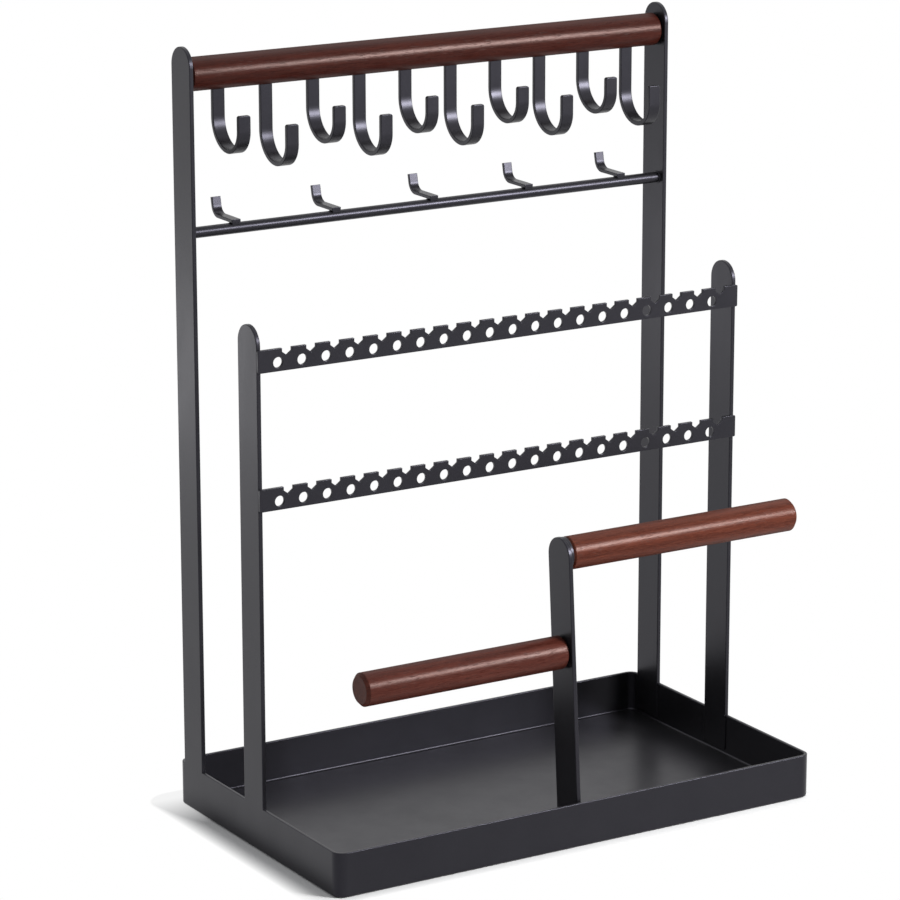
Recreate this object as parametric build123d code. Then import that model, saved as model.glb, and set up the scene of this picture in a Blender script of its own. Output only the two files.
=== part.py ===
from build123d import *
import math
import os

# Jewelry stand: a folded steel tray carries two tall and two shorter uprights, a wooden
# dowel with necklace hooks, a rod with small rear hooks, two earring strips and a leaning
# post with a bracelet dowel on each side.
# Millimetres. X runs to the right, Y to the back, Z up. The origin is the centre of the
# tray's underside.

# Tray
tray_width = 250.0
tray_depth = 146.0
tray_height = 20.5
sheet_thickness = 1.5
tray_corner_radius = 5.0
tray_fold_radius = 1.2
tray_floor_radius = 0.9
wall_edge_round = 0.4

# Flat bars of the uprights and the post
bar_width = 17.0
bar_thickness = 2.0
bar_edge_round = 0.35

# Uprights
back_upright_height = 350.0
back_upright_setback = 6.0
front_upright_height = 238.0
front_upright_setback = 66.0
upright_foot_height = 3.5

# Wooden dowels
dowel_diameter = 15.0
dowel_end_chamfer = 1.4
top_dowel_drop = 12.4
screw_shank_diameter = 4.0
screw_head_diameter = 7.4
screw_head_cone = 1.7
fixing_clearance = 1.1
screw_recess_width = 0.9
screw_recess_length = 4.4
screw_recess_depth = 1.2
pin_diameter = 5.0
stud_reach = 14.0

# Necklace hooks
hook_count = 10
hook_end_gap = 16.1
hook_width = 6.0
hook_thickness = 2.0
hook_stem_bend_radius = 13.5
hook_tip_bend_radius = 10.0
hook_tang = 8.0
hook_edge_round = 0.3
hook_tip_corner = 1.0
short_hook_drop = 32.9
short_hook_rise = 17.0
long_hook_drop = 40.7
long_hook_rise = 18.8

# Rod and rear hooks
rod_diameter = 5.0
rod_drop = 81.8
rod_forward = 3.5
rear_hook_count = 5
rear_hook_end_gap = 21.5
rear_hook_width = 4.4
rear_hook_thickness = 1.6
rear_hook_nose = 2.0
rear_hook_run = 11.6
rear_hook_bend_radius = 5.0
rear_hook_tip_length = 3.9
rear_hook_tip_lean = 12.0
rear_hook_lift = 0.1
rear_hook_weld_width = 3.6
rear_hook_edge_round = 0.25

# Earring strips
strip_height = 10.0
strip_thickness = 1.5
strip_corner_radius = 0.6
upper_strip_drop = 9.8
lower_strip_drop = 71.4
hole_pitch = 11.9
hole_diameter = 4.8
hole_height = 3.9
strip_end_gap = 8.5
notch_offset = 4.45
notch_width = 4.9
notch_side = 1.6
notch_depth = 3.4

# Bracelet post and its dowels
post_length = 138.2
post_lean = 4.06
post_setback = 10.1
post_foot_chamfer = 1.5
upper_bracelet_reach = 130.5
upper_bracelet_length = 121.1
collar_thickness = 1.4
lower_bracelet_reach = 86.5
lower_bracelet_length = 103.2

# Places that follow from the sizes above
outer_x = tray_width / 2
inner_x = outer_x - bar_thickness
front_y = -tray_depth / 2
back_y = tray_depth / 2
back_upright_y = back_y - back_upright_setback - bar_width / 2
front_upright_front = front_y + front_upright_setback
front_upright_y = front_upright_front + bar_width / 2
span = 2 * inner_x
dowel_radius = dowel_diameter / 2
top_dowel_z = back_upright_height - top_dowel_drop
rod_radius = rod_diameter / 2
rod_y = back_upright_y - rod_forward
rod_z = back_upright_height - rod_drop
post_y = front_y + post_setback
fixing_reach = hook_end_gap - hook_width / 2 - fixing_clearance
over = 1.0
touch = 0.001

os.makedirs("parts", exist_ok=True)


def save(shape, name):
    shape.label = name
    export_step(shape, "parts/" + name + ".step")


def block(x0, x1, y0, y1, z0, z1):
    # Box between two corners
    size = Box(x1 - x0, y1 - y0, z1 - z0)
    return Pos((x0 + x1) / 2, (y0 + y1) / 2, (z0 + z1) / 2) * size


def rod_along_x(radius, x0, x1, y, z):
    # Round bar along X
    return Pos((x0 + x1) / 2, y, z) * Rot(Y=90) * Cylinder(radius, x1 - x0)


def in_plane_of_side(x0, x1, outline):
    # Closed outline in the Y-Z plane, thickened from x0 to x1
    face = make_face(outline)
    return Pos(x0, 0, 0) * extrude(face, amount=x1 - x0, dir=(1, 0, 0))


def edges_along_side(shape, x):
    # Edges that lie in the plane at x
    return shape.edges().filter_by_position(Axis.X, x - touch, x + touch)


def bar_outline(y, z0, z1):
    # Flat bar seen from the side: square foot, full round top
    half = bar_width / 2
    shoulder = z1 - half
    foot = Line((0, y - half, z0), (0, y + half, z0))
    back = Line((0, y + half, z0), (0, y + half, shoulder))
    top = ThreePointArc((0, y + half, shoulder), (0, y, z1), (0, y - half, shoulder))
    front = Line((0, y - half, shoulder), (0, y - half, z0))
    return foot + back + top + front


def rounded_bar(x0, outline, z0):
    # Flat bar with its long edges eased, its edges that end at the foot's height z0 left sharp
    bar = in_plane_of_side(x0, x0 + bar_thickness, outline)
    long_edges = ShapeList()
    for x in (x0, x0 + bar_thickness):
        side = edges_along_side(bar, x)
        long_edges += [edge for edge in side if edge.bounding_box().max.Z > z0 + touch]
    return fillet(long_edges, bar_edge_round)


def screw_cone(face_x, y, z):
    # Cone of a countersunk head that is flush with a face on the right, at face_x
    cone = Cone(screw_shank_diameter / 2, screw_head_diameter / 2, screw_head_cone)
    return Pos(face_x - screw_head_cone / 2, y, z) * Rot(Y=90) * cone


def countersunk_hole(face_x, y, z):
    # Screw hole through a flat bar, countersunk on its right face
    shank = rod_along_x(screw_shank_diameter / 2, face_x - bar_thickness - over, face_x, y, z)
    return shank + screw_cone(face_x, y, z)


def countersunk_screw(face_x, y, z):
    # Flat-headed screw with a cross recess, driven to the left through a flat bar
    end_x = face_x - bar_thickness - fixing_reach
    screw = rod_along_x(screw_shank_diameter / 2, end_x, face_x, y, z)
    screw += screw_cone(face_x, y, z)
    depth = 2 * screw_recess_depth
    screw -= Pos(face_x, y, z) * Box(depth, screw_recess_length, screw_recess_width)
    screw -= Pos(face_x, y, z) * Box(depth, screw_recess_width, screw_recess_length)
    return screw


def upright(side, y, height):
    # Upright flush with the tray's outer face, its foot let into the side wall
    x0 = inner_x if side > 0 else -outer_x
    above = rounded_bar(x0, bar_outline(y, tray_height, height), tray_height)
    half = bar_width / 2
    foot = block(x0, x0 + bar_thickness, y - half, y + half, upright_foot_height, tray_height)
    return above + foot


def make_tray():
    body = Pos(0, 0, tray_height / 2) * Box(tray_width, tray_depth, tray_height)
    body = fillet(body.edges().filter_by(Axis.Z), tray_corner_radius)
    underside = body.faces().sort_by(Axis.Z)[0]
    body = fillet(underside.edges(), tray_fold_radius)
    hollow_height = tray_height - sheet_thickness
    hollow = Box(tray_width - 2 * sheet_thickness, tray_depth - 2 * sheet_thickness, hollow_height + over)
    hollow = Pos(0, 0, sheet_thickness + (hollow_height + over) / 2) * hollow
    inner_corner = tray_corner_radius - sheet_thickness
    hollow = fillet(hollow.edges().filter_by(Axis.Z), inner_corner)
    floor = hollow.faces().sort_by(Axis.Z)[0]
    hollow = fillet(floor.edges(), tray_floor_radius)
    body -= hollow
    rim = body.faces().sort_by(Axis.Z)[-1]
    body = fillet(rim.edges(), wall_edge_round)
    half = bar_width / 2
    for side in (-1, 1):
        wall_x = side * (outer_x - sheet_thickness)
        x0 = min(wall_x, side * (outer_x + over))
        x1 = max(wall_x, side * (outer_x + over))
        for y in (back_upright_y, front_upright_y):
            body -= block(x0, x1, y - half, y + half, upright_foot_height, tray_height + over)
    return body


def dowel(x0, x1, y, z):
    # Plain dowel along X with chamfered ends
    wood = rod_along_x(dowel_radius, x0, x1, y, z)
    ends = wood.edges().filter_by(GeomType.CIRCLE)
    return chamfer(ends, dowel_end_chamfer)


def hook_places(count, end_gap):
    # Even places along the span between the back uprights
    pitch = (span - 2 * end_gap) / (count - 1)
    return [end_gap - span / 2 + pitch * number for number in range(count)]


def quarter_arc(centre_y, centre_z, radius, side):
    # Quarter circle down to its lowest point, from the back for side 1 and from the front for side -1
    slant = radius * math.sqrt(0.5)
    start = (0, centre_y + side * radius, centre_z)
    middle = (0, centre_y + side * slant, centre_z - slant)
    return ThreePointArc(start, middle, (0, centre_y, centre_z - radius))


def j_outline(drop, rise):
    # Side view of a J hook: straight stem, wide bend forwards, tighter bend up to the tip
    half = hook_thickness / 2
    low_z = top_dowel_z - drop
    tip_z = low_z + rise
    tang_z = top_dowel_z - dowel_radius + hook_tang
    stem_back = back_upright_y + half
    stem_front = back_upright_y - half
    stem_z = low_z + hook_stem_bend_radius
    turn_z = low_z + hook_tip_bend_radius
    bend_y = back_upright_y - hook_stem_bend_radius
    tip_back = bend_y - hook_tip_bend_radius + half
    tip_front = bend_y - hook_tip_bend_radius - half
    outline = Line((0, stem_front, tang_z), (0, stem_back, tang_z))
    outline += Line((0, stem_back, tang_z), (0, stem_back, stem_z))
    outline += quarter_arc(bend_y, stem_z, hook_stem_bend_radius + half, 1)
    outline += quarter_arc(bend_y, turn_z, hook_tip_bend_radius + half, -1)
    outline += Line((0, tip_front, turn_z), (0, tip_front, tip_z))
    outline += Line((0, tip_front, tip_z), (0, tip_back, tip_z))
    outline += Line((0, tip_back, tip_z), (0, tip_back, turn_z))
    outline += quarter_arc(bend_y, turn_z, hook_tip_bend_radius - half, -1)
    outline += quarter_arc(bend_y, stem_z, hook_stem_bend_radius - half, 1)
    outline += Line((0, stem_front, stem_z), (0, stem_front, tang_z))
    return outline


def necklace_hook(drop, rise):
    # J hook at X = 0, its tang inside the dowel
    x0 = -hook_width / 2
    hook = in_plane_of_side(x0, x0 + hook_width, j_outline(drop, rise))
    tip_z = top_dowel_z - drop + rise
    across = hook.edges().filter_by(Axis.Y)
    tip_corners = across.filter_by_position(Axis.Z, tip_z - touch, tip_z + touch)
    hook = fillet(tip_corners, hook_tip_corner)
    tang_z = top_dowel_z - dowel_radius + hook_tang
    side_edges = ShapeList()
    for plane_x in (x0, x0 + hook_width):
        side = edges_along_side(hook, plane_x)
        side_edges += [edge for edge in side if edge.bounding_box().min.Z < tang_z - touch]
    return fillet(side_edges, hook_edge_round)


def hook_slot():
    # Slot at X = 0 in the dowel's underside, the size of a hook's tang
    underside = top_dowel_z - dowel_radius
    side = hook_width / 2
    y0 = back_upright_y - hook_thickness / 2
    return block(-side, side, y0, y0 + hook_thickness, underside - over, underside + hook_tang)


def rear_hook_outline():
    # Side view of a rear hook: a level run on the rod, a bend upwards and a tip that leans back
    under = rod_z + rod_radius + rear_hook_lift
    top = under + rear_hook_thickness
    nose = rod_y - rear_hook_nose
    bend_y = rod_y + rear_hook_run
    inner = rear_hook_bend_radius - rear_hook_thickness / 2
    outer = rear_hook_bend_radius + rear_hook_thickness / 2
    bend_z = top + inner
    turn = math.radians(90 - rear_hook_tip_lean)

    def bend_point(radius, angle, onwards=0.0):
        # Point of the bend at an angle from its start, or onwards from there along its direction
        y = bend_y + radius * math.sin(angle) + onwards * math.cos(angle)
        z = bend_z - radius * math.cos(angle) + onwards * math.sin(angle)
        return (0, y, z)

    outer_end = bend_point(outer, turn)
    inner_end = bend_point(inner, turn)
    outer_tip = bend_point(outer, turn, rear_hook_tip_length)
    inner_tip = bend_point(inner, turn, rear_hook_tip_length)
    outline = Line((0, nose, top), (0, nose, under))
    outline += Line((0, nose, under), (0, bend_y, under))
    outline += ThreePointArc((0, bend_y, under), bend_point(outer, turn / 2), outer_end)
    outline += Line(outer_end, outer_tip)
    outline += Line(outer_tip, inner_tip)
    outline += Line(inner_tip, inner_end)
    outline += ThreePointArc(inner_end, bend_point(inner, turn / 2), (0, bend_y, top))
    outline += Line((0, bend_y, top), (0, nose, top))
    return outline


def rear_hook():
    # Rear hook at X = 0, its weld saddled on the rod
    half = rear_hook_width / 2
    hook = in_plane_of_side(-half, half, rear_hook_outline())
    side_edges = edges_along_side(hook, -half) + edges_along_side(hook, half)
    hook = fillet(side_edges, rear_hook_edge_round)
    weld_half = rear_hook_weld_width / 2
    under = rod_z + rod_radius + rear_hook_lift
    hook += block(-weld_half, weld_half, rod_y - weld_half, rod_y + weld_half, rod_z, under)
    return hook - rod_along_x(rod_radius, -inner_x, inner_x, rod_y, rod_z)


def earring_strip():
    # Flat plate with its lower edge at z = 0: a row of holes, and a notch beside each hole
    copies = int((tray_width - 2 * strip_end_gap - notch_offset) / hole_pitch) + 1
    first_hole = -(hole_pitch * (copies - 1) + notch_offset) / 2
    hole_places = [first_hole + hole_pitch * number for number in range(copies)]
    half = notch_width / 2
    side = strip_height - notch_side
    point = strip_height - notch_depth
    outline = [(-outer_x, 0, 0), (-outer_x, 0, strip_height)]
    for x in hole_places:
        notch_x = x + notch_offset
        outline += [(notch_x - half, 0, strip_height), (notch_x - half, 0, side), (notch_x, 0, point)]
        outline += [(notch_x + half, 0, side), (notch_x + half, 0, strip_height)]
    outline += [(outer_x, 0, strip_height), (outer_x, 0, 0)]
    plate = extrude(make_face(Polyline(*outline, close=True)), amount=strip_thickness, dir=(0, -1, 0))
    through = Rot(X=90) * Cylinder(hole_diameter / 2, 2 * strip_thickness + over)
    plate -= [Pos(x, 0, hole_height) * through for x in hole_places]
    corners = plate.edges().filter_by(Axis.Y)
    ends = [edge for edge in corners if abs(edge.center().X) > outer_x - over]
    return Pos(0, front_upright_front, 0) * fillet(ends, strip_corner_radius)


def leaned(shape):
    # From the post's own upright frame to its leaning place in the tray
    return Pos(0, post_y, 0) * Rot(X=-post_lean) * shape


def post_outline():
    # Leaning flat bar seen from the side: level foot with cut corners, full round top
    lean = math.radians(post_lean)
    half = bar_width / 2
    along = (math.sin(lean), math.cos(lean))
    across = (math.cos(lean), -math.sin(lean))

    def edge_point(side, z):
        return (0, post_y + side * half / math.cos(lean) + z * math.tan(lean), z)

    def top_point(reach, side):
        y = post_y + reach * along[0] + side * half * across[0]
        return (0, y, reach * along[1] + side * half * across[1])

    foot_z = sheet_thickness
    chamfer_z = foot_z + post_foot_chamfer
    front_foot = (0, edge_point(-1, foot_z)[1] + post_foot_chamfer, foot_z)
    back_foot = (0, edge_point(1, foot_z)[1] - post_foot_chamfer, foot_z)
    foot = Polyline(edge_point(-1, chamfer_z), front_foot, back_foot, edge_point(1, chamfer_z))
    shoulder = post_length - half
    back = Line(edge_point(1, chamfer_z), top_point(shoulder, 1))
    top = ThreePointArc(top_point(shoulder, 1), top_point(post_length, 0), top_point(shoulder, -1))
    front = Line(top_point(shoulder, -1), edge_point(-1, chamfer_z))
    return foot + back + top + front


def bracelet_post():
    half = bar_thickness / 2
    chamfer_z = sheet_thickness + post_foot_chamfer
    post = rounded_bar(-half, post_outline(), chamfer_z)
    return post - leaned(countersunk_hole(half, 0, lower_bracelet_reach))


def bracelet_dowel(x0, x1, reach):
    # Dowel along X on the leaning post; the post's lean doesn't turn its axis
    return leaned(dowel(x0, x1, 0, reach))


# Steel frame
save(make_tray(), "tray")
back_left = upright(-1, back_upright_y, back_upright_height)
back_right = upright(1, back_upright_y, back_upright_height)
back_right -= countersunk_hole(outer_x, back_upright_y, top_dowel_z)
save(back_left, "back_left_upright")
save(back_right, "back_right_upright")
save(upright(-1, front_upright_y, front_upright_height), "front_left_upright")
save(upright(1, front_upright_y, front_upright_height), "front_right_upright")
strip = earring_strip()
strip_top = front_upright_height - strip_height
save(Pos(0, 0, strip_top - upper_strip_drop) * strip, "upper_earring_strip")
save(Pos(0, 0, strip_top - lower_strip_drop) * strip, "lower_earring_strip")

# Top dowel, its fixings and the necklace hooks
top_dowel = dowel(-inner_x, inner_x, back_upright_y, top_dowel_z)
pin = rod_along_x(pin_diameter / 2, -inner_x, fixing_reach - inner_x, back_upright_y, top_dowel_z)
top_screw = countersunk_screw(outer_x, back_upright_y, top_dowel_z)
screw_end = inner_x - fixing_reach
screw_bore = rod_along_x(screw_shank_diameter / 2, screw_end, inner_x, back_upright_y, top_dowel_z)
places = hook_places(hook_count, hook_end_gap)
short_hook = necklace_hook(short_hook_drop, short_hook_rise)
long_hook = necklace_hook(long_hook_drop, long_hook_rise)
for number, hook_x in enumerate(places, start=1):
    hook = short_hook if number % 2 == 1 else long_hook
    save(Pos(hook_x, 0, 0) * hook, "necklace_hook_" + str(number))
slots = [Pos(hook_x, 0, 0) * hook_slot() for hook_x in places]
top_dowel -= [pin, screw_bore] + slots
save(top_dowel, "top_dowel")
save(pin, "top_dowel_pin")
save(top_screw, "top_dowel_screw")

# Rod and rear hooks
save(rod_along_x(rod_radius, -inner_x, inner_x, rod_y, rod_z), "rear_rod")
small_hook = rear_hook()
for number, hook_x in enumerate(hook_places(rear_hook_count, rear_hook_end_gap), start=1):
    save(Pos(hook_x, 0, 0) * small_hook, "rear_hook_" + str(number))

# Bracelet post and its two dowels
post_face = bar_thickness / 2
collar_face = post_face + collar_thickness
stud_end = collar_face + stud_reach
save(bracelet_post(), "bracelet_post")
stud = leaned(rod_along_x(screw_shank_diameter / 2, post_face, stud_end, 0, upper_bracelet_reach))
collar = leaned(rod_along_x(dowel_radius, post_face, collar_face, 0, upper_bracelet_reach))
upper_end = collar_face + upper_bracelet_length
save(collar - stud, "upper_bracelet_dowel_collar")
save(stud, "upper_bracelet_dowel_stud")
save(bracelet_dowel(collar_face, upper_end, upper_bracelet_reach) - stud, "upper_bracelet_dowel")
lower_screw = leaned(countersunk_screw(post_face, 0, lower_bracelet_reach))
lower_end = -post_face - lower_bracelet_length
save(lower_screw, "lower_bracelet_dowel_screw")
lower_dowel = bracelet_dowel(lower_end, -post_face, lower_bracelet_reach)
save(lower_dowel - lower_screw, "lower_bracelet_dowel")
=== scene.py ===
import math

import bpy
from mathutils import Matrix, Vector


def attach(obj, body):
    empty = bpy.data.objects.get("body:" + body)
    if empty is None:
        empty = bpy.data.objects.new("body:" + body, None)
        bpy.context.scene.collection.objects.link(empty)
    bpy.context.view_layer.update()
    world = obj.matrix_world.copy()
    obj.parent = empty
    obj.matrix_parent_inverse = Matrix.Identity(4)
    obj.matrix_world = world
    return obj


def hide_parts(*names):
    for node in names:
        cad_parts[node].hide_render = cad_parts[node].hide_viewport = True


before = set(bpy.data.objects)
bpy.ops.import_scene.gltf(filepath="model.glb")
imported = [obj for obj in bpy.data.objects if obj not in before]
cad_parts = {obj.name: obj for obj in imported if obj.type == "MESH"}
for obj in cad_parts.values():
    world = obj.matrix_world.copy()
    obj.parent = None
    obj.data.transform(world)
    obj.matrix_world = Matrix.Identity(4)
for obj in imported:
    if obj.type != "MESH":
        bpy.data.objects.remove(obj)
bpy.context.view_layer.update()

# Jewelry stand: powder-coated steel frame and tray, stained wooden dowels, bright screws.
# The scene is in metres. Sizes are in millimetres, as in the CAD model, where nothing else is said.
MM = 0.001

# Steel frame
INNER_X = 123.0
OUTER_X = 125.0
TRAY_SHEET = 1.5
TRAY_BACK_Y = 73.0
WALL_TOP = 20.5
BAR_WIDTH = 17.0
BACK_UPRIGHT_Y = 58.5
FRONT_UPRIGHT_Y = 1.5
ROD_Y = 55.0
ROD_Z = 268.2
ROD_RADIUS = 2.5

# Bracelet post's foot
POST_FOOT_Y = -62.8
POST_FOOT_HALF = 6.6
POST_HALF_THICKNESS = 1.0

# Earring strips
STRIP = {
    "Length": 250.0,
    "Height": 10.0,
    "Thickness": 1.5,
    "Corner Radius": 0.6,
    "Hole Pitch": 11.9,
    "Hole Diameter": 4.8,
    "Hole Height": 3.9,
    "Notch Offset": 4.45,
    "Notch Width": 4.9,
    "Notch Side": 1.6,
    "Notch Depth": 3.4,
}
STRIP_COPIES = 20
STRIP_BACK_Y = -7.0
STRIP_FEET = {"upper_earring_strip": 218.2, "lower_earring_strip": 156.6}
STRIP_RIM_ROUND = 0.1
STRIP_RIM_STEPS = 2
STRIP_RIM_ANGLE = math.radians(35)
NOTCH_POINTS = 5
PLATE_CORNERS = 4
HOLE_SIDES = 40
CORNER_STEPS = 3
JOIN_WITHIN = 0.0005
# A face of the plate is one of its two large ones when its normal lies this much along Y
LARGE_FACE = 0.999

# Weld seams: radius of each bead, where it starts and ends, and how it ripples
STRIP_BEAD = 0.55
ROD_BEAD = 0.5
FOOT_BEAD = 0.5
POST_BEAD = 0.6
STRIP_SEAM_INSET = 1.2
FOOT_SEAM_START = 4.2
FOOT_SEAM_INSET = 1.6
BEAD_STEP = 0.22
BEAD_SIDES = 14
RIPPLE_PITCH = 2.2
# These are shares of the bead's radius, but the taper is a share of its length
BEAD_BODY = 0.9
RIPPLE_HEIGHT = 0.16
BEAD_UNEVENNESS = 0.5
BEAD_END = 0.45
BEAD_TAPER = 0.05
# Swells of a bead to a metre, and the seed of the first piece of seams
BEAD_SWELLS = 900.0
FIRST_SEED = 3.0

# Each upright's foot is ground flush into its side wall: under the first pair of heights, nearer to
# the middle than the pair in Y, and outside the pair in X. Each pair is a soft step.
FLUSH_UNDER = (WALL_TOP - 0.8, WALL_TOP - 0.4)
FLUSH_WITHIN_Y = (67.3, 67.8)
FLUSH_OUTSIDE_X = (OUTER_X - 0.3, OUTER_X - 0.5)

# Edges are found where the rounded normal turns away from the true one, by this match of the two
EDGE_MATCH = (0.995, 0.86)
EDGE_SAMPLES = 6
COAT_EDGE = 0.4
WOOD_EDGE = 0.4
SCREW_EDGE = 0.15

# Powder coat: its shades, gloss and texture
COAT_DEEP = (0.0060, 0.0058, 0.0066, 1.0)
COAT_SOFT = (0.0090, 0.0087, 0.0098, 1.0)
COAT_SPECKLE = (0.0150, 0.0146, 0.0160, 1.0)
COAT_RUBBED = (0.022, 0.0212, 0.0230, 1.0)
COAT_ROUGHNESS = (0.29, 0.36)
COAT_POLISH = 0.06
COAT_SPECULAR = 0.30
COAT_TINT = (0.82, 0.80, 1.0, 1.0)
PEEL_OVER_GRAIN = 2.6

# Stained wood: red, green and blue of its shades, before the tone of each dowel
WOOD_SHADES = {
    "dark": (0.026, 0.0064, 0.0046),
    "middle": (0.048, 0.0120, 0.0088),
    "light": (0.092, 0.0270, 0.0195),
    "open pore": (0.013, 0.0040, 0.0030),
    "bare": (0.150, 0.0520, 0.0360),
}
WOOD_ROUGHNESS = (0.25, 0.32)
PORE_ROUGHNESS = 0.12
RIM_ROUGHNESS = 0.45
WOOD_SPECULAR = 0.16
WOOD_TINT = (1.0, 0.72, 0.66, 1.0)
FIBRE_RELIEF = 0.6
FLECK_RELIEF = 0.8
STICK_TILT = (0.0, math.radians(1.1), math.radians(0.8))

# Each dowel's material, the place of its stick's heart, and its tone in red, green and blue
# The tones make the top dowel darker, and the upper bracelet dowel lighter and warmer as painted
# warm reflected light
DOWELS = {
    "top_dowel": ("stained_wood_top", (0.0, -44.0, -322.0), (0.60, 0.42, 0.36)),
    "upper_bracelet_dowel": ("stained_wood_upper", (0.0, 68.0, -118.0), (1.36, 1.20, 0.88)),
    "lower_bracelet_dowel": ("stained_wood_lower", (0.0, 45.0, -97.0), (1.05, 0.94, 0.86)),
}

# Bright zinc, on every piece whose name ends in one of these words
ZINC_CLEAN = (0.56, 0.55, 0.53, 1.0)
ZINC_STAINED = (0.38, 0.37, 0.36, 1.0)
ZINC_ROUGHNESS = (0.22, 0.42)
ZINC_PIECES = ("screw", "pin", "stud")

# Camera of the photograph: lens and sensor in millimetres, place in metres, turn in degrees
CAMERA_LENS = 160.2
CAMERA_SENSOR = 36.0
CAMERA_CLIP = (0.05, 50.0)
CAMERA_PLACE = (-0.9188, -1.4708, 0.6252)
CAMERA_TURN = {"yaw": -31.313, "pitch": 14.849, "roll": -0.083}

# Studio: colours, strengths, and the floor's reach and height in metres
WHITE = (1.0, 1.0, 1.0, 1.0)
ROOM_COLOUR = (0.97, 0.98, 1.0, 1.0)
ROOM_LIGHT = 0.40
# The floor's paint near the tray is greyer than the white further out: a painted shade round the
# tray, besides its real shadow
FLOOR_PAINT_PAINTED_SHADE = (0.84, 0.84, 0.84, 1.0)
FLOOR_REACH = 6.0
FLOOR_HEIGHT = -0.00005

# The floor is painted white over its shadow this far from the tray, and this many times nearer on
# the lit sides
SHADOW_REACH = (3.0, 13.6)
SHADOW_CURVE = 1.6
LIT_SIDE = 2.6
# Towards the tray's back corner white is painted over its shadow, from the first of these places in
# Y to the second
SHADOW_FADE = (42.0, 78.0)
SHADOW_FADE_SHARE = 0.85

# Soft lamps: place, aim, width and height in metres, power in watts
LAMPS = {
    "overhead_lamp": ((0.3, 0.3, 1.5), (0.0, 0.0, 0.2), (1.6, 1.6), 3.2),
    "front_lamp": ((0.545, -0.79, 0.60), (0.0, 0.0, 0.2), (0.26, 0.26), 15.5),
    "left_lamp": ((-0.5, 0.66, 0.04), (-0.12, 0.03, 0.16), (0.5, 0.08), 0.25),
}


class NodeBench:
    """Adds nodes to one tree and joins their sockets."""

    def __init__(self, tree):
        self.tree = tree

    def add(self, kind, inputs=None, **settings):
        """New node of a kind, with its settings and its inputs by name or by place."""
        made = self.tree.nodes.new(kind)
        for name, value in settings.items():
            setattr(made, name, value)
        for key, value in (inputs or {}).items():
            self.feed(made.inputs[key], value)
        return made

    def feed(self, socket, value):
        """Joins an input to a socket or to a node's first output, or sets it to a plain value."""
        if isinstance(value, bpy.types.NodeSocket):
            self.tree.links.new(value, socket)
        elif isinstance(value, bpy.types.Node):
            self.tree.links.new(value.outputs[0], socket)
        else:
            socket.default_value = value

    def math(self, operation, first, second=0.0):
        """Result of one sum on one or two values."""
        inputs = {0: first, 1: second}
        return self.add("ShaderNodeMath", inputs, operation=operation).outputs[0]

    def remap(self, value, span, result=(0.0, 1.0)):
        """Turns the span of a value into the span of the result, and holds it at both ends."""
        inputs = {
            "Value": value,
            "From Min": span[0],
            "From Max": span[1],
            "To Min": result[0],
            "To Max": result[1],
        }
        return self.add("ShaderNodeMapRange", inputs).outputs["Result"]


def empty_bench(owner):
    """Bench on the emptied node tree of a material or a world."""
    owner.use_nodes = True
    owner.node_tree.nodes.clear()
    return NodeBench(owner.node_tree)


def new_material(name):
    """Material with its surface shader. Returns the material, its bench and the shader."""
    material = bpy.data.materials.new(name)
    bench = empty_bench(material)
    shader = bench.add("ShaderNodeBsdfPrincipled")
    bench.add("ShaderNodeOutputMaterial", {"Surface": shader.outputs[0]})
    return material, bench, shader


def new_object(name, data):
    """Object in the scene, unturned at the origin."""
    made = bpy.data.objects.new(name, data)
    bpy.context.scene.collection.objects.link(made)
    return made


def in_millimetres(bench, stretch=(1.0, 1.0, 1.0), shift=(0.0, 0.0, 0.0), turn=(0.0, 0.0, 0.0)):
    """The object's own coordinates in millimetres, stretched, turned and shifted."""
    place = bench.add("ShaderNodeTexCoord").outputs["Object"]
    scale = tuple(1000.0 * s for s in stretch)
    inputs = {"Vector": place, "Location": shift, "Rotation": turn, "Scale": scale}
    return bench.add("ShaderNodeMapping", inputs).outputs[0]


def noise(bench, place, scale, detail=2.0, roughness=0.5, distortion=0.0):
    """Soft random pattern, its scale in features to a millimetre."""
    inputs = {
        "Vector": place,
        "Scale": scale,
        "Detail": detail,
        "Roughness": roughness,
        "Distortion": distortion,
    }
    return bench.add("ShaderNodeTexNoise", inputs).outputs["Fac"]


def edge_share(bench, radius):
    """Returns a share, near 1 on the object's edges and 0 on its faces, and the rounded normal."""
    rounded = bench.add("ShaderNodeBevel", {"Radius": radius * MM}, samples=EDGE_SAMPLES)
    true = bench.add("ShaderNodeNewGeometry").outputs["Normal"]
    normals = {0: rounded.outputs[0], 1: true}
    match = bench.add("ShaderNodeVectorMath", normals, operation="DOT_PRODUCT")
    return bench.remap(match.outputs["Value"], EDGE_MATCH), rounded.outputs[0]


def mixed(bench, share, first, second):
    """Colour between two others, the second where share is 1."""
    inputs = {"Factor": share, 6: first, 7: second}
    return bench.add("ShaderNodeMix", inputs, data_type="RGBA").outputs[2]


def ground_flush(bench):
    """0 where the uprights' feet are ground flush into the tray's side walls, 1 elsewhere."""
    parts = bench.add("ShaderNodeSeparateXYZ", {0: in_millimetres(bench)}).outputs
    over_walls = bench.remap(parts["Z"], FLUSH_UNDER)
    near_corners = bench.remap(bench.math("ABSOLUTE", parts["Y"]), FLUSH_WITHIN_Y)
    inside = bench.remap(bench.math("ABSOLUTE", parts["X"]), FLUSH_OUTSIDE_X)
    return bench.math("MAXIMUM", bench.math("MAXIMUM", over_walls, near_corners), inside)


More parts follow.
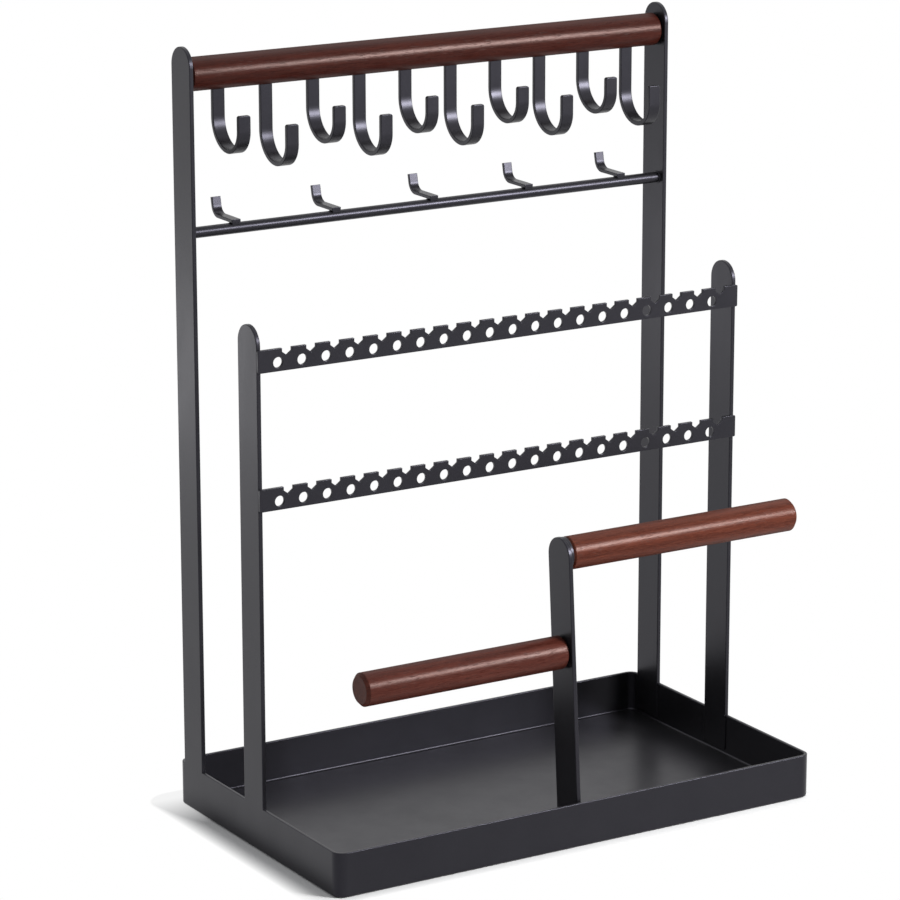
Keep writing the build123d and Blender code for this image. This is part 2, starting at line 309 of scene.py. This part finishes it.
def powder_coat():
    """Charcoal powder coat: satin, finely orange-peeled, rubbed brighter along the edges."""
    material, bench, shader = new_material("powder_coat")
    place = in_millimetres(bench)
    flush = ground_flush(bench)
    edge, rounded = edge_share(bench, COAT_EDGE)
    true = bench.add("ShaderNodeNewGeometry").outputs["Normal"]
    normals = {"Factor": flush, 4: true, 5: rounded}
    eased = bench.add("ShaderNodeMix", normals, data_type="VECTOR")

    # Colour: clouds and a fine speckle, and broken wear along the edges
    patches = noise(bench, place, scale=0.35, detail=4.0, roughness=0.65)
    broken = bench.remap(patches, (0.35, 0.7), (0.25, 0.9))
    worn = bench.math("MULTIPLY", bench.math("MULTIPLY", edge, flush), broken)
    clouds = bench.remap(noise(bench, place, scale=0.03, detail=4.0, roughness=0.6), (0.3, 0.7))
    speckle = noise(bench, place, scale=2.6)
    shade = mixed(bench, clouds, COAT_DEEP, COAT_SOFT)
    shade = mixed(bench, bench.remap(speckle, (0.35, 0.75), (0.0, 0.35)), shade, COAT_SPECKLE)
    bench.feed(shader.inputs["Base Color"], mixed(bench, worn, shade, COAT_RUBBED))

    # Gloss: uneven from handling, and a little higher where it is worn
    upright = in_millimetres(bench, stretch=(1.0, 1.0, 0.4))
    handled = noise(bench, upright, scale=0.055, detail=5.0, roughness=0.62)
    rough = bench.remap(handled, (0.3, 0.7), COAT_ROUGHNESS)
    rough = bench.math("SUBTRACT", rough, bench.math("MULTIPLY", worn, COAT_POLISH))
    bench.feed(shader.inputs["Roughness"], rough)
    shader.inputs["Specular IOR Level"].default_value = COAT_SPECULAR
    shader.inputs["Specular Tint"].default_value = COAT_TINT

    # Texture: orange peel and a finer grain on it
    peel = bench.math("MULTIPLY", noise(bench, place, scale=0.75), PEEL_OVER_GRAIN)
    grain = noise(bench, place, scale=3.4, detail=3.0, roughness=0.6)
    height = bench.math("ADD", peel, grain)
    bump = bench.add("ShaderNodeBump", {"Strength": 0.5, "Distance": 0.006 * MM, "Height": height})
    bench.feed(bump.inputs["Normal"], eased.outputs[1])
    bench.feed(shader.inputs["Normal"], bump.outputs[0])
    return material


def stained(shade, tone_and_painted_light):
    """A shade of the wood, taken darker or lighter by a dowel's tone; the upper bracelet dowel's
    lighter, warmer tone is painted reflected light.
    """
    return (*(part * factor for part, factor in zip(WOOD_SHADES[shade], tone_and_painted_light)), 1.0)


def stained_wood(name, pith, tone_and_painted_light):
    """Dark red-brown stained dowel under satin lacquer, cut from a stick whose heart is at pith.

    Its colours are taken darker or lighter by tone, a factor for red, green and blue, which on the
    upper bracelet dowel is painted warm reflected light.
    """
    material, bench, shader = new_material(name)

    # Patterns: growth rings, then fibres, streaks, flecks, specks and pores along the dowel
    rings = bench.add(
        "ShaderNodeTexWave",
        {
            "Vector": in_millimetres(bench, shift=pith, turn=STICK_TILT),
            "Scale": 0.085,
            "Distortion": 3.0,
            "Detail": 3.0,
            "Detail Scale": 0.22,
        },
        wave_type="RINGS",
        rings_direction="X",
        wave_profile="SIN",
    ).outputs["Fac"]
    drawn = in_millimetres(bench, stretch=(0.06, 1.0, 1.0))
    fibres = noise(bench, drawn, scale=2.4, detail=4.0, roughness=0.65, distortion=0.4)
    drawn = in_millimetres(bench, stretch=(0.02, 0.35, 0.35))
    streaks = noise(bench, drawn, scale=0.9, detail=4.0, roughness=0.6)
    drawn = in_millimetres(bench, stretch=(0.3, 1.2, 1.2))
    flecks = noise(bench, drawn, scale=1.3, detail=3.0, roughness=0.6)
    drawn = in_millimetres(bench, stretch=(0.7, 1.0, 1.0))
    specks = noise(bench, drawn, scale=2.6)
    drawn = in_millimetres(bench, stretch=(0.16, 1.7, 1.7))
    pores = bench.remap(noise(bench, drawn, scale=1.7, detail=1.0, roughness=0.4), (0.66, 0.76))

    # Colour: each pattern's span lays a shade over the one before, by up to the given share
    dark, middle, light, open_pore, bare = (stained(shade, tone_and_painted_light) for shade in WOOD_SHADES)
    colour = middle
    for pattern, span, share, shade in (
        (rings, (0.2, 0.95), 0.45, dark),
        (streaks, (0.45, 0.75), 0.6, light),
        (flecks, (0.5, 0.75), 0.55, light),
        (fibres, (0.5, 0.74), 0.5, light),
        (fibres, (0.48, 0.3), 0.6, dark),
        (specks, (0.55, 0.75), 0.4, light),
        (pores, (0.0, 1.0), 0.7, open_pore),
    ):
        colour = mixed(bench, bench.remap(pattern, span, (0.0, share)), colour, shade)
    edge, rounded = edge_share(bench, WOOD_EDGE)
    rubbed = bench.math("MULTIPLY", edge, bench.remap(fibres, (0.4, 0.7), (0.05, 0.4)))
    bench.feed(shader.inputs["Base Color"], mixed(bench, rubbed, colour, bare))

    # Gloss: rougher in the pores and towards the rims, so that these mirror less
    rough = bench.remap(fibres, (0.25, 0.75), WOOD_ROUGHNESS)
    rough = bench.math("ADD", rough, bench.math("MULTIPLY", pores, PORE_ROUGHNESS))
    facing = bench.add("ShaderNodeLayerWeight", {"Blend": 0.5}).outputs["Facing"]
    rims = bench.remap(facing, (0.35, 0.9), (0.0, RIM_ROUGHNESS))
    bench.feed(shader.inputs["Roughness"], bench.math("ADD", rough, rims))
    shader.inputs["Specular IOR Level"].default_value = WOOD_SPECULAR
    shader.inputs["Specular Tint"].default_value = WOOD_TINT

    # Texture: raised fibres and flecks, sunk pores
    height = bench.math("SUBTRACT", bench.math("MULTIPLY", fibres, FIBRE_RELIEF), pores)
    height = bench.math("ADD", height, bench.math("MULTIPLY", flecks, FLECK_RELIEF))
    height = bench.math("ADD", height, specks)
    relief = {"Strength": 0.6, "Distance": 0.06 * MM, "Height": height, "Normal": rounded}
    bench.feed(shader.inputs["Normal"], bench.add("ShaderNodeBump", relief).outputs[0])
    return material


def bright_steel():
    """Zinc-plated screws: bright, finely turned, slightly stained."""
    material, bench, shader = new_material("bright_steel")
    place = in_millimetres(bench)
    stain = bench.remap(noise(bench, place, scale=0.9, detail=4.0, roughness=0.6), (0.35, 0.7))
    bench.feed(shader.inputs["Base Color"], mixed(bench, stain, ZINC_CLEAN, ZINC_STAINED))
    shader.inputs["Metallic"].default_value = 1.0
    dull = noise(bench, place, scale=3.0, detail=3.0, roughness=0.6)
    bench.feed(shader.inputs["Roughness"], bench.remap(dull, (0.3, 0.7), ZINC_ROUGHNESS))
    turned = bench.add(
        "ShaderNodeTexWave",
        {"Vector": place, "Scale": 0.9, "Distortion": 0.6},
        wave_type="BANDS",
        bands_direction="X",
    ).outputs["Fac"]
    rounded = edge_share(bench, SCREW_EDGE)[1]
    relief = {"Strength": 0.3, "Distance": 0.01 * MM, "Height": turned, "Normal": rounded}
    bench.feed(shader.inputs["Normal"], bench.add("ShaderNodeBump", relief).outputs[0])
    return material


def geometry_tree(name, kinds, takes_geometry=False):
    """Geometry tree with an input of each kind by name. Returns its bench and its inputs."""
    tree = bpy.data.node_groups.new(name, "GeometryNodeTree")
    add_socket = tree.interface.new_socket
    if takes_geometry:
        add_socket("Geometry", in_out="INPUT", socket_type="NodeSocketGeometry")
    for key, kind in kinds.items():
        add_socket(key, in_out="INPUT", socket_type=kind)
    add_socket("Material", in_out="INPUT", socket_type="NodeSocketMaterial")
    add_socket("Geometry", in_out="OUTPUT", socket_type="NodeSocketGeometry")
    bench = NodeBench(tree)
    return bench, bench.add("NodeGroupInput").outputs


def end_tree(bench, geometry, material):
    """Ends a tree in real geometry that carries the material. Returns the tree."""
    real = bench.add("GeometryNodeRealizeInstances", {0: geometry})
    coated = bench.add("GeometryNodeSetMaterial", {"Geometry": real, "Material": material})
    bench.add("NodeGroupOutput", {0: coated})
    return bench.tree


def joined(bench, *parts):
    """One geometry from several."""
    made = bench.add("GeometryNodeJoinGeometry")
    for part in parts:
        bench.feed(made.inputs[0], part)
    return made


def chosen(bench, number, values):
    """The value whose place in the list is number."""
    made = bench.add("GeometryNodeIndexSwitch", data_type="FLOAT")
    while len(made.index_switch_items) < len(values):
        made.index_switch_items.new()
    bench.feed(made.inputs["Index"], number)
    for place, value in enumerate(values):
        bench.feed(made.inputs[place + 1], value)
    return made.outputs[0]


def either(bench, switch, off, on):
    """The value on where switch holds, off elsewhere."""
    inputs = {"Switch": switch, "False": off, "True": on}
    return bench.add("GeometryNodeSwitch", inputs, input_type="FLOAT")


def strip_outline(bench, size, first):
    """The strip's outline, flat: five points to a notch, then the plate's four corners."""
    notch_points = bench.math("MULTIPLY", size["Copies"], NOTCH_POINTS)
    count = bench.math("ADD", notch_points, PLATE_CORNERS)
    line = bench.add("GeometryNodeCurvePrimitiveLine")
    points = bench.add("GeometryNodeResampleCurve", {"Curve": line, "Count": count})
    index = bench.add("GeometryNodeInputIndex").outputs[0]
    notch = bench.math("FLOOR", bench.math("DIVIDE", index, NOTCH_POINTS))
    step = bench.math("MODULO", index, NOTCH_POINTS)

    # Points of a notch
    right = bench.math("MULTIPLY", size["Notch Width"], 0.5)
    left = bench.math("MULTIPLY", right, -1.0)
    top = size["Height"]
    side = bench.math("SUBTRACT", top, size["Notch Side"])
    point = bench.math("SUBTRACT", top, size["Notch Depth"])
    across = chosen(bench, step, [left, left, 0.0, right, right])
    notch_z = chosen(bench, step, [top, side, point, side, top])
    along = bench.math("ADD", bench.math("MULTIPLY", notch, size["Hole Pitch"]), first)
    notch_x = bench.math("ADD", bench.math("ADD", along, size["Notch Offset"]), across)

    # Corners of the plate
    corner = bench.math("SUBTRACT", index, notch_points)
    far_right = bench.math("MULTIPLY", size["Length"], 0.5)
    far_left = bench.math("MULTIPLY", far_right, -1.0)
    corner_x = chosen(bench, corner, [far_right, far_right, far_left, far_left])
    corner_z = chosen(bench, corner, [top, 0.0, 0.0, top])

    is_corner = bench.math("GREATER_THAN", corner, -0.5)
    x = either(bench, is_corner, notch_x, corner_x)
    z = either(bench, is_corner, notch_z, corner_z)
    place = bench.add("ShaderNodeCombineXYZ", {"X": x, "Y": z})
    outline = bench.add("GeometryNodeSetPosition", {"Geometry": points, "Position": place})
    closed = bench.add("GeometryNodeSetSplineCyclic", {"Geometry": outline, "Cyclic": True})
    radius = bench.math("MULTIPLY", is_corner, size["Corner Radius"])
    fillet = {"Curve": closed, "Count": CORNER_STEPS, "Radius": radius}
    return bench.add("GeometryNodeFilletCurve", fillet, mode="POLY")


def strip_holes(bench, size, first):
    """The strip's row of round holes, flat, from the first one's place on."""
    start = bench.add("ShaderNodeCombineXYZ", {"X": first, "Y": size["Hole Height"]})
    pitch = bench.add("ShaderNodeCombineXYZ", {"X": size["Hole Pitch"]})
    run = {"Count": size["Copies"], "Start Location": start, "Offset": pitch}
    row = bench.add("GeometryNodeMeshLine", run)
    radius = bench.math("MULTIPLY", size["Hole Diameter"], 0.5)
    ring = {"Resolution": HOLE_SIDES, "Radius": radius}
    hole = bench.add("GeometryNodeCurvePrimitiveCircle", ring)
    holes = bench.add("GeometryNodeInstanceOnPoints", {"Points": row, "Instance": hole})
    return bench.add("GeometryNodeRealizeInstances", {0: holes})


def strip_tree():
    """An earring strip: a plate with a row of holes and a pointed notch beside each of them."""
    kinds = {key: "NodeSocketFloat" for key in STRIP}
    kinds.update({"Copies": "NodeSocketInt", "Foot": "NodeSocketVector"})
    bench, size = geometry_tree("earring_strip", kinds)
    gaps = bench.math("SUBTRACT", size["Copies"], 1.0)
    run = bench.math("MULTIPLY", size["Hole Pitch"], gaps)
    first = bench.math("MULTIPLY", bench.math("ADD", run, size["Notch Offset"]), -0.5)
    cut = joined(bench, strip_outline(bench, size, first), strip_holes(bench, size, first))

    # The flat plate gets its thickness, and is stood up in its place in metres
    face = bench.add("GeometryNodeFillCurve", {"Curve": cut}, mode="NGONS")
    rise = {"Mesh": face, "Offset Scale": size["Thickness"], "Individual": False}
    raised = bench.add("GeometryNodeExtrudeMesh", rise)
    under = bench.add("GeometryNodeFlipFaces", {"Mesh": face})
    both = {"Geometry": joined(bench, raised, under), "Distance": JOIN_WITHIN}
    plate = bench.add("GeometryNodeMergeByDistance", both)
    standing = {
        "Geometry": plate,
        "Translation": size["Foot"],
        "Rotation": (math.pi / 2, 0.0, 0.0),
        "Scale": (MM, MM, MM),
    }
    stood = bench.add("GeometryNodeTransform", standing)
    return end_tree(bench, stood, size["Material"])


def seam_tree():
    """A weld seam under paint: a rippled, slightly uneven bead along each edge of a mesh."""
    kinds = {
        "Bead Radius": "NodeSocketFloat",
        "Ripple Pitch": "NodeSocketFloat",
        "Unevenness": "NodeSocketFloat",
        "Seed": "NodeSocketFloat",
    }
    bench, size = geometry_tree("weld_seam", kinds, takes_geometry=True)
    path = bench.add("GeometryNodeMeshToCurve", {"Mesh": size["Geometry"]})
    steps = {"Curve": path, "Length": BEAD_STEP * MM}
    path = bench.add("GeometryNodeResampleCurve", steps, mode="LENGTH")

    # Ripples of the weld and a random swell
    travel = bench.add("GeometryNodeSplineParameter").outputs["Length"]
    turns = bench.math("MULTIPLY", travel, 2 * math.pi)
    turns = bench.math("DIVIDE", turns, size["Ripple Pitch"])
    ripple = bench.math("ABSOLUTE", bench.math("SINE", turns))
    ripple = bench.math("MULTIPLY", ripple, RIPPLE_HEIGHT)
    wander = {"W": size["Seed"], "Scale": BEAD_SWELLS, "Detail": 2.0}
    wander = bench.add("ShaderNodeTexNoise", wander, noise_dimensions="4D").outputs[0]
    uneven = bench.math("SUBTRACT", wander, 0.5)
    uneven = bench.math("MULTIPLY", uneven, size["Unevenness"])
    swell = bench.math("ADD", bench.math("ADD", ripple, uneven), BEAD_BODY)

    # The bead's ends die away into the plates
    share = bench.add("GeometryNodeSplineParameter").outputs["Factor"]
    from_start = bench.remap(share, (0.0, BEAD_TAPER), (BEAD_END, 1.0))
    from_end = bench.remap(share, (1.0, 1.0 - BEAD_TAPER), (BEAD_END, 1.0))
    swell = bench.math("MULTIPLY", swell, bench.math("MULTIPLY", from_start, from_end))
    path = bench.add("GeometryNodeSetCurveRadius", {"Curve": path, "Radius": swell})
    ring = {"Resolution": BEAD_SIDES, "Radius": size["Bead Radius"]}
    section = bench.add("GeometryNodeCurvePrimitiveCircle", ring)
    sweep = {"Curve": path, "Profile Curve": section, "Fill Caps": True}
    bead = bench.add("GeometryNodeCurveToMesh", sweep)
    smooth = bench.add("GeometryNodeSetShadeSmooth", {"Geometry": bead, "Shade Smooth": True})
    return end_tree(bench, smooth, size["Material"])


def grow(name, tree, inputs, start=None, rim_round=0.0):
    """A plain mesh piece from a geometry tree and its inputs, with its sharp rims eased."""
    base = start or bpy.data.meshes.new(name + "_start")
    holder = new_object(name + "_holder", base)
    modifier = holder.modifiers.new("grow", "NODES")
    modifier.node_group = tree
    for item in tree.interface.items_tree:
        if item.in_out == "INPUT" and item.name in inputs:
            modifier[item.identifier] = inputs[item.name]
    if rim_round:
        bevel = holder.modifiers.new("rims", "BEVEL")
        bevel.width = rim_round * MM
        bevel.segments = STRIP_RIM_STEPS
        bevel.limit_method = "ANGLE"
        bevel.angle_limit = STRIP_RIM_ANGLE
    ready = holder.evaluated_get(bpy.context.evaluated_depsgraph_get())
    mesh = bpy.data.meshes.new_from_object(ready)
    mesh.name = name
    bpy.data.objects.remove(holder)
    return new_object(name, mesh)


def shade_plate(piece):
    """Leaves a plate's two large faces flat and smooths its holes and eased rims."""
    for face in piece.data.polygons:
        face.use_smooth = abs(face.normal.y) < LARGE_FACE


def make_strips(coat):
    """The two earring strips, in place of their plain CAD nodes."""
    tree = strip_tree()
    for node, foot in STRIP_FEET.items():
        inputs = dict(STRIP)
        inputs["Copies"] = STRIP_COPIES
        inputs["Foot"] = (0.0, STRIP_BACK_Y * MM, foot * MM)
        inputs["Material"] = coat
        strip = grow(node + "_plate", tree, inputs, rim_round=STRIP_RIM_ROUND)
        shade_plate(strip)
        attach(strip, "root")
        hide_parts(node)


def line_between(start, end, pieces=8):
    """Even points from start to end."""
    a, b = Vector(start), Vector(end)
    return [list(a.lerp(b, n / pieces)) for n in range(pieces + 1)]


def ring_round_rod(x, y, z, radius, pieces=36):
    """Points once round a rod that runs along X."""
    turns = [2 * math.pi * n / pieces for n in range(pieces + 1)]
    return [[x, y + radius * math.cos(turn), z + radius * math.sin(turn)] for turn in turns]


def strip_seam_paths():
    """Across each end of the earring strips, on the uprights' inner faces."""
    paths = []
    for side in (-1, 1):
        for foot in STRIP_FEET.values():
            low = (side * INNER_X, STRIP_BACK_Y, foot + STRIP_SEAM_INSET)
            high = (side * INNER_X, STRIP_BACK_Y, foot + STRIP["Height"] - STRIP_SEAM_INSET)
            paths.append(line_between(low, high))
    return paths


def rod_seam_paths():
    """Round each end of the rear rod."""
    return [ring_round_rod(side * INNER_X, ROD_Y, ROD_Z, ROD_RADIUS) for side in (-1, 1)]


def foot_seam_paths():
    """Up both edges of each upright's foot, inside the tray's walls."""
    paths = []
    for side in (-1, 1):
        x = side * (OUTER_X - TRAY_SHEET)
        for middle in (BACK_UPRIGHT_Y, FRONT_UPRIGHT_Y):
            for edge in (-1, 1):
                y = middle + edge * BAR_WIDTH / 2
                low, high = (x, y, FOOT_SEAM_START), (x, y, WALL_TOP - FOOT_SEAM_INSET)
                paths.append(line_between(low, high))
    return paths


def post_seam_paths():
    """Along both faces of the bracelet post's foot, on the tray's floor."""
    paths = []
    for side in (-1, 1):
        x = side * POST_HALF_THICKNESS
        front, back = (POST_FOOT_Y + edge * POST_FOOT_HALF for edge in (-1, 1))
        paths.append(line_between((x, front, TRAY_SHEET), (x, back, TRAY_SHEET)))
    return paths


def paths_mesh(name, paths):
    """Mesh of edges along paths, each a list of points in millimetres."""
    points, edges = [], []
    for path in paths:
        first = len(points)
        points += [[value * MM for value in point] for point in path]
        edges += [(first + n, first + n + 1) for n in range(len(path) - 1)]
    mesh = bpy.data.meshes.new(name)
    mesh.from_pydata(points, edges, [])
    return mesh


def make_seams(coat):
    """The weld seams of the steel frame, each kind of seam one piece."""
    seams = {
        "earring_strip_weld_seams": (strip_seam_paths(), STRIP_BEAD),
        "rear_rod_weld_seams": (rod_seam_paths(), ROD_BEAD),
        "upright_foot_weld_seams": (foot_seam_paths(), FOOT_BEAD),
        "post_foot_weld_seams": (post_seam_paths(), POST_BEAD),
    }
    tree = seam_tree()
    for number, (name, (paths, radius)) in enumerate(seams.items()):
        inputs = {
            "Bead Radius": radius * MM,
            "Ripple Pitch": RIPPLE_PITCH * MM,
            "Unevenness": BEAD_UNEVENNESS,
            "Seed": FIRST_SEED + number,
            "Material": coat,
        }
        seam = grow(name, tree, inputs, start=paths_mesh(name + "_paths", paths))
        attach(seam, "root")


def dress_nodes(coat, woods, steel):
    """Gives every CAD node its finish."""
    for name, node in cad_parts.items():
        finish = woods.get(name) or (steel if name.endswith(ZINC_PIECES) else coat)
        node.data.materials.clear()
        node.data.materials.append(finish)


def place_camera():
    """The camera of the photograph: about 1.8 m away, long lens, from the front left and above."""
    data = bpy.data.cameras.new("photo_camera")
    data.lens = CAMERA_LENS
    data.sensor_width = CAMERA_SENSOR
    data.clip_start, data.clip_end = CAMERA_CLIP
    camera = new_object("photo_camera", data)
    yaw = Matrix.Rotation(math.radians(CAMERA_TURN["yaw"]), 4, "Z")
    pitch = Matrix.Rotation(math.pi / 2 - math.radians(CAMERA_TURN["pitch"]), 4, "X")
    roll = Matrix.Rotation(math.radians(CAMERA_TURN["roll"]), 4, "Z")
    camera.matrix_world = Matrix.Translation(CAMERA_PLACE) @ yaw @ pitch @ roll
    bpy.context.scene.camera = camera


def background_share(bench):
    """1 for rays that see the background directly, in a reflection or through glass."""
    path = bench.add("ShaderNodeLightPath").outputs
    seen = bench.math("MAXIMUM", path["Is Camera Ray"], path["Is Glossy Ray"])
    return bench.math("MAXIMUM", seen, path["Is Transmission Ray"])


def white_studio():
    """White surroundings that light the stand softly from all round."""
    world = bpy.data.worlds.new("studio")
    bench = empty_bench(world)
    light = bench.add("ShaderNodeBackground", {"Color": ROOM_COLOUR, "Strength": ROOM_LIGHT})
    seen = bench.add("ShaderNodeBackground", {"Color": WHITE, "Strength": 1.0})
    both = bench.add("ShaderNodeMixShader", {0: background_share(bench), 1: light, 2: seen})
    bench.add("ShaderNodeOutputWorld", {0: both})
    bpy.context.scene.world = world


def floor_paint():
    """Pale grey paint near the tray, which takes its shadow and adds a painted shade round it, and
    plain white further out.
    """
    material = bpy.data.materials.new("white_floor")
    bench = empty_bench(material)
    parts = bench.add("ShaderNodeSeparateXYZ", {0: in_millimetres(bench)}).outputs
    left = bench.math("SUBTRACT", bench.math("MULTIPLY", parts["X"], -1.0), OUTER_X)
    right = bench.math("MULTIPLY", bench.math("SUBTRACT", parts["X"], OUTER_X), LIT_SIDE)
    back = bench.math("SUBTRACT", parts["Y"], TRAY_BACK_Y)
    front = bench.math("SUBTRACT", bench.math("MULTIPLY", parts["Y"], -1.0), TRAY_BACK_Y)
    front = bench.math("MULTIPLY", front, LIT_SIDE)
    past_x = bench.math("MAXIMUM", bench.math("MAXIMUM", left, right), 0.0)
    past_y = bench.math("MAXIMUM", bench.math("MAXIMUM", back, front), 0.0)
    past = bench.add("ShaderNodeCombineXYZ", {"X": past_x, "Y": past_y})
    distance = bench.add("ShaderNodeVectorMath", {0: past}, operation="LENGTH").outputs["Value"]
    far = bench.math("POWER", bench.remap(distance, SHADOW_REACH), SHADOW_CURVE)
    fade = bench.remap(parts["Y"], SHADOW_FADE, (0.0, SHADOW_FADE_SHARE))
    far = bench.math("MAXIMUM", far, fade)
    share = bench.math("MULTIPLY", far, background_share(bench))
    paint = bench.add("ShaderNodeBsdfDiffuse", {"Color": FLOOR_PAINT_PAINTED_SHADE})
    white = bench.add("ShaderNodeEmission", {"Color": WHITE, "Strength": 1.0})
    both = bench.add("ShaderNodeMixShader", {0: share, 1: paint, 2: white})
    bench.add("ShaderNodeOutputMaterial", {0: both})
    return material


def white_floor():
    """Pale floor that keeps the stand's shadow and turns into the white background further out."""
    mesh = bpy.data.meshes.new("floor")
    signs = ((-1, -1), (1, -1), (1, 1), (-1, 1))
    corners = [(x * FLOOR_REACH, y * FLOOR_REACH, FLOOR_HEIGHT) for x, y in signs]
    mesh.from_pydata(corners, [], [(0, 1, 2, 3)])
    mesh.materials.append(floor_paint())
    floor = new_object("floor", mesh)


def soft_lamp(name, place, aim, size, watts):
    """Rectangular soft lamp at place, turned towards aim."""
    data = bpy.data.lights.new(name, "AREA")
    data.shape = "RECTANGLE"
    data.size, data.size_y = size
    data.energy = watts
    lamp = new_object(name, data)
    lamp.location = place
    lamp.visible_camera = False
    lamp.rotation_euler = (Vector(aim) - Vector(place)).to_track_quat("-Z", "Y").to_euler()


coat = powder_coat()
woods = {node: stained_wood(*finish) for node, finish in DOWELS.items()}
dress_nodes(coat, woods, bright_steel())
make_strips(coat)
make_seams(coat)

white_studio()
white_floor()
for lamp_name, setting in LAMPS.items():
    soft_lamp(lamp_name, *setting)
place_camera()
bpy.context.scene.view_settings.view_transform = "Standard"
